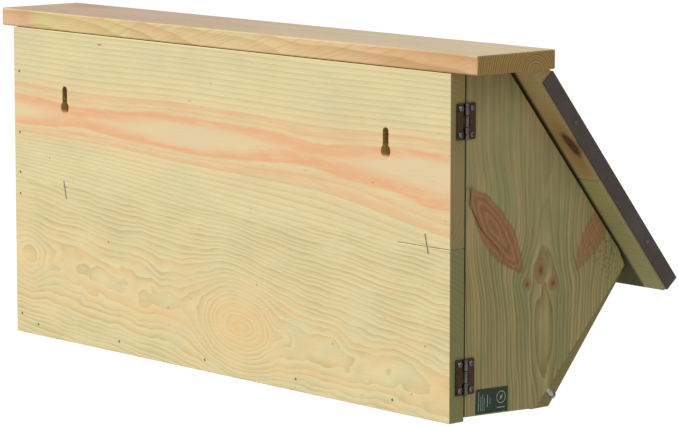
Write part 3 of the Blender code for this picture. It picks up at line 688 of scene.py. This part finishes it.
def roof_timber():
    """Roof boards, seen from below: greener at the eave, with a brown stain above it."""
    material, shader, tree = new_material("pine_roof")
    start = Vector((ROOF_LOW.x, 0, FOOT))
    u, v, w, end = board_axes(tree, start, RIGHT, DOWN_ROOF, OUT_ROOF)
    soft = noise(tree, stretched(tree, u, v, w, 40.0, 90.0), 1.0)
    depth = calc(tree, "MULTIPLY_ADD", soft, 12.0, -205.0)
    rings = use_group(tree, RINGS, u=u, v=v, w=w, heart=-70.0, depth=depth, spacing=3.4,
                      wander=1.3, sharpness=1.8)
    grain = use_group(tree, GRAIN, u=u, v=v, w=w)
    warmth = ramp(tree, v, -140.0, -50.0, 0.9, 0.0)
    upper = ramp(tree, v, -56.0, -50.0, 1.0, 0.0)
    colours = pine_look(tree, grain, rings, warmth=warmth, end=end, depth_of_line=0.35,
                        early=blend(tree, upper, (0.560, 0.530, 0.235), (0.690, 0.525, 0.235)),
                        green=blend(tree, upper, (0.500, 0.515, 0.235), (0.610, 0.490, 0.210)),
                        late_wood=(0.37, 0.27, 0.10), salmon=(0.56, 0.32, 0.12),
                        end_wood=(0.52, 0.42, 0.18))
    halo = bulges(tree, u, v, ((10, -98, 12, 30, 0.65), (8, -72, 8, 12, 0.3)))
    colour = blend(tree, halo, colours["colour"], (0.46, 0.215, 0.075))
    core = bulges(tree, u, v, ((5, -92, 6, 13, 1.0), (9, -102, 4, 8, 0.5)))
    colour = blend(tree, ramp(tree, core, 0.15, 0.8, 0.0, 0.92), colour, (0.115, 0.045, 0.024))
    # Painted shade: the underside past the door's plane, inside the box, is darkened to stand in
    # for the shadow seen through the gap above the door.
    gap_shade_ramp = ramp(tree, u, ROOF_TO_DOOR - 3.0, ROOF_TO_DOOR + 1.5, 1.0, 0.22)
    below = calc(tree, "LESS_THAN", w, ROOF_UNDER + 1.0)
    painted_gap_shade = calc(tree, "MULTIPLY", below, calc(tree, "SUBTRACT", 1.0, gap_shade_ramp))
    colour = shaded(tree, colour, calc(tree, "SUBTRACT", 1.0, painted_gap_shade))
    finish_timber(tree, shader, colour, colours["height"])
    return material


def plain_timber(name, start, along, across, into, heart, depth, seed):
    """Quiet pale pine for the front, floor and far side."""
    material, shader, tree = new_material(name)
    u, v, w, end = board_axes(tree, start, along, across, into)
    u = calc(tree, "ADD", u, seed)
    soft = noise(tree, stretched(tree, u, v, w, 50.0, 100.0), 1.0, 2.0)
    deep = calc(tree, "MULTIPLY_ADD", soft, 14.0, depth)
    rings = use_group(tree, RINGS, u=u, v=v, w=w, heart=heart, depth=deep, spacing=4.2,
                      wander=0.9, sharpness=2.4)
    grain = use_group(tree, GRAIN, u=u, v=v, w=w)
    bands = noise(tree, stretched(tree, u, v, w, 22.0, 140.0), 1.0, 1.0)
    colours = pine_look(tree, grain, rings, warmth=ramp(tree, bands, 0.5, 0.68), end=end,
                        depth_of_line=0.62,
                        early=(0.66, 0.56, 0.30), green=(0.56, 0.54, 0.30),
                        late_wood=(0.47, 0.37, 0.16), salmon=(0.68, 0.42, 0.18),
                        end_wood=(0.40, 0.33, 0.13))
    finish_timber(tree, shader, colours["colour"], colours["height"])
    return material


# ------------------------------------------------------------------ other materials
def object_millimetres(tree):
    place = tree.nodes.new("ShaderNodeTexCoord")
    scaled = tree.nodes.new("ShaderNodeVectorMath")
    scaled.operation = "SCALE"
    tree.links.new(place.outputs["Object"], scaled.inputs[0])
    scaled.inputs["Scale"].default_value = MM
    return scaled.outputs[0]


def roofing():
    """Dark brown roofing sheet with a fine mineral grain."""
    material, shader, tree = new_material("roofing_sheet")
    place = object_millimetres(tree)
    grit = noise(tree, place, 1.3, 3.0, 0.7)
    cloud = noise(tree, place, 0.03, 3.0, 0.6)
    colour = blend(tree, ramp(tree, cloud, 0.35, 0.68), (0.098, 0.070, 0.064),
                   (0.136, 0.106, 0.098))
    colour = blend(tree, ramp(tree, grit, 0.56, 0.74, 0.0, 0.6), colour, (0.25, 0.215, 0.205))
    colour = blend(tree, ramp(tree, grit, 0.44, 0.30, 0.0, 0.5), colour, (0.05, 0.035, 0.03))
    tree.links.new(colour, shader.inputs["Base Color"])
    feed(tree, shader.inputs["Roughness"], ramp(tree, cloud, 0.3, 0.7, 0.50, 0.68))
    add_relief(tree, shader, grit, 0.00025)
    return material


def metal(name, colour, dull, roughness, spots, metallic=1.0):
    """Metal with duller spots where it has tarnished."""
    material, shader, tree = new_material(name)
    place = object_millimetres(tree)
    cloud = noise(tree, place, 0.35, 4.0, 0.65)
    fine = noise(tree, place, 3.0, 2.0, 0.6)
    tarnish = ramp(tree, cloud, 0.60 - spots * 0.25, 0.72)
    feed(tree, shader.inputs["Base Color"], blend(tree, tarnish, colour, dull))
    feed(tree, shader.inputs["Roughness"], calc(
        tree, "MULTIPLY_ADD", tarnish, 0.22, calc(tree, "MULTIPLY_ADD", fine, 0.12, roughness)))
    shader.inputs["Metallic"].default_value = metallic
    add_relief(tree, shader, fine, 0.00004)
    return material


MATERIALS = {
    "back_board_upper": upper_back_timber(),
    "back_board_lower": lower_back_timber(),
    "cap_board": cap_timber(),
    "door_panel": door_timber(),
    "roof_board_upper": roof_timber(),
    "front_board": plain_timber("pine_front", Vector((BACK_LOW.x, -0.13, FOOT)), RIGHT,
                                UP_FRONT, OUT_FRONT, 60.0, 24.0, 900.0),
    "floor_board": plain_timber("pine_floor", Vector((BACK_LOW.x, 0, FOOT)), RIGHT,
                                -REAR, UP, 50.0, 30.0, 2300.0),
    "side_panel": plain_timber("pine_side", Vector((0.293, 0, FOOT)), UP, -REAR, RIGHT,
                               90.0, 26.0, 4100.0),
    "roof_sheet": roofing(),
}
MATERIALS["roof_board_lower"] = MATERIALS["roof_board_upper"]
BRONZE = metal("bronzed_steel", (0.115, 0.070, 0.042), (0.06, 0.034, 0.018), 0.30, 0.5, 0.85)
KNUCKLE = metal("worn_bronzed_steel", (0.27, 0.24, 0.23), (0.10, 0.065, 0.042), 0.20, 0.6, 0.9)
SCREW = metal("dull_plated_steel", (0.30, 0.29, 0.32), (0.10, 0.085, 0.075), 0.24, 0.7, 0.9)
BRIGHT = metal("bright_steel", (0.70, 0.70, 0.72), (0.42, 0.40, 0.38), 0.20, 0.2)
WIRE = metal("staple_wire", (0.46, 0.45, 0.43), (0.22, 0.20, 0.17), 0.35, 0.4, 0.9)
GREY = metal("dull_steel", (0.24, 0.24, 0.26), (0.12, 0.10, 0.09), 0.40, 0.5, 0.9)


def paint_nodes():
    """Give every carried-over node its material."""
    for name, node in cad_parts.items():
        if name in MATERIALS:
            paint = MATERIALS[name]
        elif "leaf" in name or name.endswith("_pin"):
            paint = BRONZE
        elif "staple" in name:
            paint = WIRE
        elif "brad" in name or "nail" in name:
            paint = GREY
        else:
            paint = BRIGHT
        node.data.materials.clear()
        node.data.materials.append(paint)


# ------------------------------------------------------------------ detailed pieces
def into_mesh(work, name, paint, body, slot, *nodes, smooth=35):
    """Close a bmesh into an object that rides on a body and replaces its plain nodes."""
    bmesh.ops.recalc_face_normals(work, faces=work.faces)
    mesh = bpy.data.meshes.new(name)
    work.to_mesh(mesh)
    work.free()
    mesh.shade_smooth()
    mesh.set_sharp_from_angle(angle=radians(smooth))
    mesh.materials.append(paint)
    piece = bpy.data.objects.new(name, mesh)
    bpy.context.scene.collection.objects.link(piece)
    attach(piece, body)
    if nodes:
        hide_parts(*nodes)
    return piece


def ring_outwards(work, edges, radius, height):
    """Extrude a round rim to a new radius and height; returns the new rim."""
    made = bmesh.ops.extrude_edge_only(work, edges=edges)["geom"]
    for vert in (item for item in made if isinstance(item, bmesh.types.BMVert)):
        flat = Vector((vert.co.x, vert.co.y, 0)).normalized() * radius
        vert.co = (flat.x, flat.y, height)
    return [item for item in made if isinstance(item, bmesh.types.BMEdge)]


def cross_head_screw(head, rise, shank, length):
    """A domed screw along -Z with its seat at the origin and a cross recess."""
    cells, arm_width, arm_length = 12, 1.1, 7.5
    work = bmesh.new()
    bmesh.ops.create_grid(work, x_segments=cells, y_segments=cells, size=1.0)
    recess = []
    for face in work.faces:
        x, y = (abs(value) for value in face.calc_center_median()[:2])
        if min(x, y) < arm_width / cells and max(x, y) < arm_length / cells:
            recess.append(face)
    for vert in work.verts:
        x, y = vert.co.x, vert.co.y
        round_x, round_y = x * sqrt(1 - y * y / 2), y * sqrt(1 - x * x / 2)
        out = round_x * round_x + round_y * round_y
        vert.co = (round_x * head, round_y * head, rise * (1 - 0.62 * out * out))
    rim = [edge for edge in work.edges if edge.is_boundary]
    for radius, height in ((head * 1.02, rise * 0.2), (head, 0.0), (shank, 0.0),
                           (shank, -length * 0.8), (shank * 0.15, -length)):
        rim = ring_outwards(work, rim, radius, height)
    bmesh.ops.holes_fill(work, edges=rim)
    sunk = bmesh.ops.extrude_face_region(work, geom=recess)["geom"]
    bmesh.ops.delete(work, geom=recess, context="FACES")
    low = [item for item in sunk if isinstance(item, bmesh.types.BMVert)]
    bmesh.ops.translate(work, verts=low, vec=(0, 0, -rise * 0.6))
    return work


def set_down(work, seat, outward, spin=0.0):
    """Turn a piece built along +Z so that it points outward from its seat."""
    turn = Vector(outward).to_track_quat("Z", "Y").to_matrix().to_4x4()
    place = Matrix.Translation(seat) @ turn @ Matrix.Rotation(spin, 4, "Z")
    bmesh.ops.transform(work, matrix=place, verts=work.verts)


def corners(node):
    low, high = (Vector(corner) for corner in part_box(node))
    return low, high, (low + high) / 2


def fit_hinge_screws():
    """Pan heads with cross recesses, each left at its own angle."""
    turn, rise, shank = 0.35, 0.0016, 0.0012
    for name in [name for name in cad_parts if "_screw_" in name]:
        low, high, centre = corners(name)
        work = cross_head_screw((high.z - low.z) / 2, rise, shank, high.x - low.x - rise)
        set_down(work, (low.x + rise, centre.y, centre.z), (-1, 0, 0), turn)
        body = "door" if "_door_" in name else "box"
        into_mesh(work, name + "_cross_head", SCREW, body, "bright_steel", name, smooth=50)
        turn += 0.83


def rounded_block(work, low, high, radius, across):
    """A block whose corners are rounded in the plane square to one axis."""
    made = bmesh.ops.create_cube(work, size=1.0)["verts"]
    span = Vector(high) - Vector(low)
    bmesh.ops.scale(work, verts=made, vec=span)
    bmesh.ops.translate(work, verts=made, vec=(Vector(high) + Vector(low)) / 2)
    edges = {edge for vert in made for edge in vert.link_edges}
    corners = [edge for edge in edges
               if abs((edge.verts[0].co - edge.verts[1].co).normalized()[across]) > 0.9]
    if radius > 0:
        bmesh.ops.bevel(work, geom=corners, offset=radius, segments=4, affect="EDGES",
                        profile=0.5, material=-1)


def barrel(work, foot, radius, length, chamfer):
    """A rolled knuckle standing on its foot, with softened ends."""
    made = bmesh.ops.create_cone(work, cap_ends=True, segments=28, radius1=radius,
                                 radius2=radius, depth=length)["verts"]
    bmesh.ops.translate(work, verts=made, vec=Vector(foot) + Vector((0, 0, length / 2)))
    ends = {edge for vert in made for edge in vert.link_edges
            if abs(edge.verts[0].co.z - edge.verts[1].co.z) < 0.00001}
    bmesh.ops.bevel(work, geom=list(ends), offset=chamfer, segments=2, affect="EDGES",
                    profile=0.5, material=-1)


LEAF, LEAF_CORNER = 0.0012, 0.0011  # thickness of a hinge leaf, and the radius of its corners
PIN_END = 0.0003                    # how far the pin stands out of the knuckles
KNUCKLE_PLAY = 0.0002               # free space at each end of a knuckle
KNUCKLE_CHAMFER = 0.00025
KNUCKLE_ROOT = 0.0015               # how far a knuckle's strap reaches over its leaf


def fit_hinges():
    """Pressed leaves with rounded corners and rolled knuckles."""
    for place in ("upper", "lower"):
        pin_low, pin_high, pin = corners(f"hinge_{place}_pin")
        foot = pin_low.z + PIN_END
        third = (pin_high.z - pin_low.z - 2 * PIN_END) / 3
        for holder, body, side, numbers in (("frame", "box", 1, (0, 2)),
                                            ("door", "door", -1, (1,))):
            node = f"hinge_{place}_{holder}_leaf"
            low, high = corners(node)[:2]
            knuckle = pin.x - low.x
            far = high.y if side > 0 else low.y
            near = pin.y + side * (knuckle + PIN_END)
            root = near + side * KNUCKLE_ROOT
            back = high.x - LEAF
            work = bmesh.new()
            rounded_block(work, (back, min(near, far), low.z),
                          (high.x, max(near, far), high.z), LEAF_CORNER, 0)
            plate = set(work.faces)
            for number in numbers:
                bottom = foot + number * third + KNUCKLE_PLAY
                length = third - 2 * KNUCKLE_PLAY
                rounded_block(work, (back, min(pin.y, root), bottom),
                              (high.x, max(pin.y, root), bottom + length), 0.0, 0)
                barrel(work, (pin.x, pin.y, bottom), knuckle, length, KNUCKLE_CHAMFER)
            for face in set(work.faces) - plate:
                face.material_index = 1
            pressed = into_mesh(work, node + "_pressed", BRONZE, body, "bronzed_steel", node)
            pressed.data.materials.append(KNUCKLE)


def fit_pull_screw():
    """The door's pull: a bright domed screw standing out of the slanted edge."""
    low, high, centre = corners("door_pull_screw")
    direction = Vector((0, -sin(DOOR_SLOPE), -cos(DOOR_SLOPE)))
    head, rise, shank, length = (high.x - low.x) / 2, 0.0024, 0.0019, 0.0300
    reach = Vector((0, low.y - centre.y, low.z - centre.z))
    tip = centre + direction * (reach.length - head * 1.02)
    work = cross_head_screw(head, rise, shank, length)
    set_down(work, tip - direction * rise, direction, 0.5)
    into_mesh(work, "door_pull_screw_domed", BRIGHT, "door", "bright_steel", "door_pull_screw",
              smooth=50)


LABEL_HALF_WIDTH, LABEL_HALF_HEIGHT, LABEL_TILT = 0.01825, 0.01025, radians(1.8)
EMBLEM = (-0.00018, -0.0105, 0.0018)           # middle of the emblem, out of the film's face
RING_RADIUS, RING_INNER = 0.0052, 0.0045
# Printed bars, each given as distance across, from and to in height, and thickness.
BARS = ((0.0150, -0.0080, 0.0080, 0.0007), (0.0125, -0.0080, 0.0045, 0.0005),
        (0.0105, -0.0080, 0.0060, 0.0005), (0.0085, -0.0080, 0.0030, 0.0005),
        (0.0050, -0.0050, 0.0050, 0.0009), (0.0020, -0.0030, 0.0030, 0.0005))


def fit_label():
    """A plain green label with a generic leaf in a ring and a few bars."""
    centre = corners("door_label")[2]
    tilt = Matrix.Translation(centre) @ Matrix.Rotation(LABEL_TILT, 4, "X")
    film = bmesh.new()
    rounded_block(film, (-0.0001, -LABEL_HALF_WIDTH, -LABEL_HALF_HEIGHT),
                  (0.0001, LABEL_HALF_WIDTH, LABEL_HALF_HEIGHT), 0.0007, 0)
    bmesh.ops.transform(film, matrix=tilt, verts=film.verts)
    into_mesh(film, "door_label_film", LABEL_GREEN, "door", "green_film", "door_label")
    ink = bmesh.new()
    upright = Matrix.Rotation(pi / 2, 3, "Y")
    bmesh.ops.create_circle(ink, segments=40, radius=RING_RADIUS)
    made = bmesh.ops.extrude_edge_only(ink, edges=ink.edges[:])["geom"]
    for vert in (item for item in made if isinstance(item, bmesh.types.BMVert)):
        vert.co *= RING_INNER / RING_RADIUS
    bmesh.ops.rotate(ink, verts=ink.verts, cent=(0, 0, 0), matrix=upright)
    bmesh.ops.translate(ink, verts=ink.verts, vec=EMBLEM)
    leaf = bmesh.ops.create_circle(ink, segments=24, radius=0.0030, cap_ends=True)["verts"]
    for vert in leaf:
        vert.co.y *= 0.42 * (1 - abs(vert.co.x) / 0.0036)
    bmesh.ops.rotate(ink, verts=leaf, cent=(0, 0, 0), matrix=upright)
    bmesh.ops.rotate(ink, verts=leaf, cent=(0, 0, 0), matrix=Matrix.Rotation(radians(35), 3, "X"))
    bmesh.ops.translate(ink, verts=leaf, vec=EMBLEM)
    face, lift = -0.00013, EMBLEM[0]
    for across, bottom, top, thick in BARS:
        rounded_block(ink, (lift, across - thick / 2, bottom),
                      (face, across + thick / 2, top), 0.0, 0)
    rounded_block(ink, (lift, -0.0150, -0.0070), (face, -0.0060, -0.0062), 0.0, 0)
    bmesh.ops.transform(ink, matrix=tilt, verts=ink.verts)
    into_mesh(ink, "door_label_print", LABEL_INK, "door", "green_film")


# The joint stays open near the door and round the far staple.
GLUED = ((BACK_LOW.x + 0.062, 0.2138), (0.2197, BACK_HIGH.x - 0.0012))
GLUE_LEVEL, GLUE_THIN = 0.00015, 0.12           # the glue's inner edge thins towards this level


def fill_back_joint():
    """Glue and swollen fibre in the joint of the back boards."""
    work = bmesh.new()
    for start, stop in GLUED:
        rounded_block(work, (start, -0.0009, SEAM - 0.0010), (stop, -0.00002, SEAM + 0.0007),
                      0.0, 0)
    level = SEAM - GLUE_LEVEL
    for vert in work.verts:
        if vert.co.y < -0.0005:
            vert.co.z = level + (vert.co.z - level) * GLUE_THIN
    into_mesh(work, "back_joint_glue", MATERIALS["back_board_lower"], "box", "pine")


KEYHOLES = (-0.216, 0.216)
SLOT_EDGE = 0.00365                 # middle of a slot to the splinters' roots, in the wood
SLOT_FOOT, SPLINTER_STEP = FOOT + 0.2195, 0.00115


def tear_keyhole_fibres():
    """Splinters left by the router along both sides of each hanging slot."""
    for number, slot in enumerate(KEYHOLES):
        work = bmesh.new()
        for step in range(13):
            wobble = sin(step * 12.9898 + number * 4.1)
            other = sin(step * 7.31 + number * 2.7)
            for side in (-1, 1):
                reach = 0.0010 + 0.0011 * abs(sin(step * 3.7 + side * 1.9 + number))
                root = Vector((slot + side * SLOT_EDGE, -0.0007 - 0.0016 * abs(other),
                               SLOT_FOOT + step * SPLINTER_STEP + side * 0.0003 * wobble))
                made = bmesh.ops.create_cone(work, cap_ends=True, segments=5, radius1=0.00065,
                                             radius2=0.00012, depth=reach)["verts"]
                bmesh.ops.translate(work, verts=made, vec=(0, 0, reach / 2))
                lean = Vector((-side, 0.25 * other, 0.6 * wobble))
                turn = lean.to_track_quat("Z", "Y").to_matrix().to_4x4()
                bmesh.ops.transform(work, matrix=Matrix.Translation(root) @ turn, verts=made)
        into_mesh(work, f"keyhole_{number + 1}_splinters", SPLINTER, "box", "pine")


def worn_finish(name, scale, detail, spread, below, above, roughness, limits=None):
    """A plain finish whose colour changes with a fine wear noise."""
    material, shader, tree = new_material(name)
    wear = noise(tree, object_millimetres(tree), scale, detail, spread)
    if limits:
        wear = ramp(tree, wear, *limits)
    tree.links.new(blend(tree, wear, below, above), shader.inputs["Base Color"])
    shader.inputs["Roughness"].default_value = roughness
    return material


LABEL_GREEN = worn_finish("green_film", 0.9, 4.0, 0.7, (0.018, 0.052, 0.026),
                          (0.05, 0.10, 0.06), 0.35, (0.5, 0.8))
LABEL_INK = worn_finish("pale_ink", 2.2, 3.0, 0.7, (0.62, 0.66, 0.58), (0.30, 0.36, 0.28),
                        0.5, (0.40, 0.62))
SPLINTER = worn_finish("torn_pine", 0.8, 3.0, 0.5, (0.10, 0.065, 0.02), (0.42, 0.32, 0.13), 0.8)


add_camera()
light_studio()
lay_floor()
paint_nodes()
fit_hinges()
fit_hinge_screws()
fit_pull_screw()
fit_label()
fill_back_joint()
tear_keyhole_fibres()
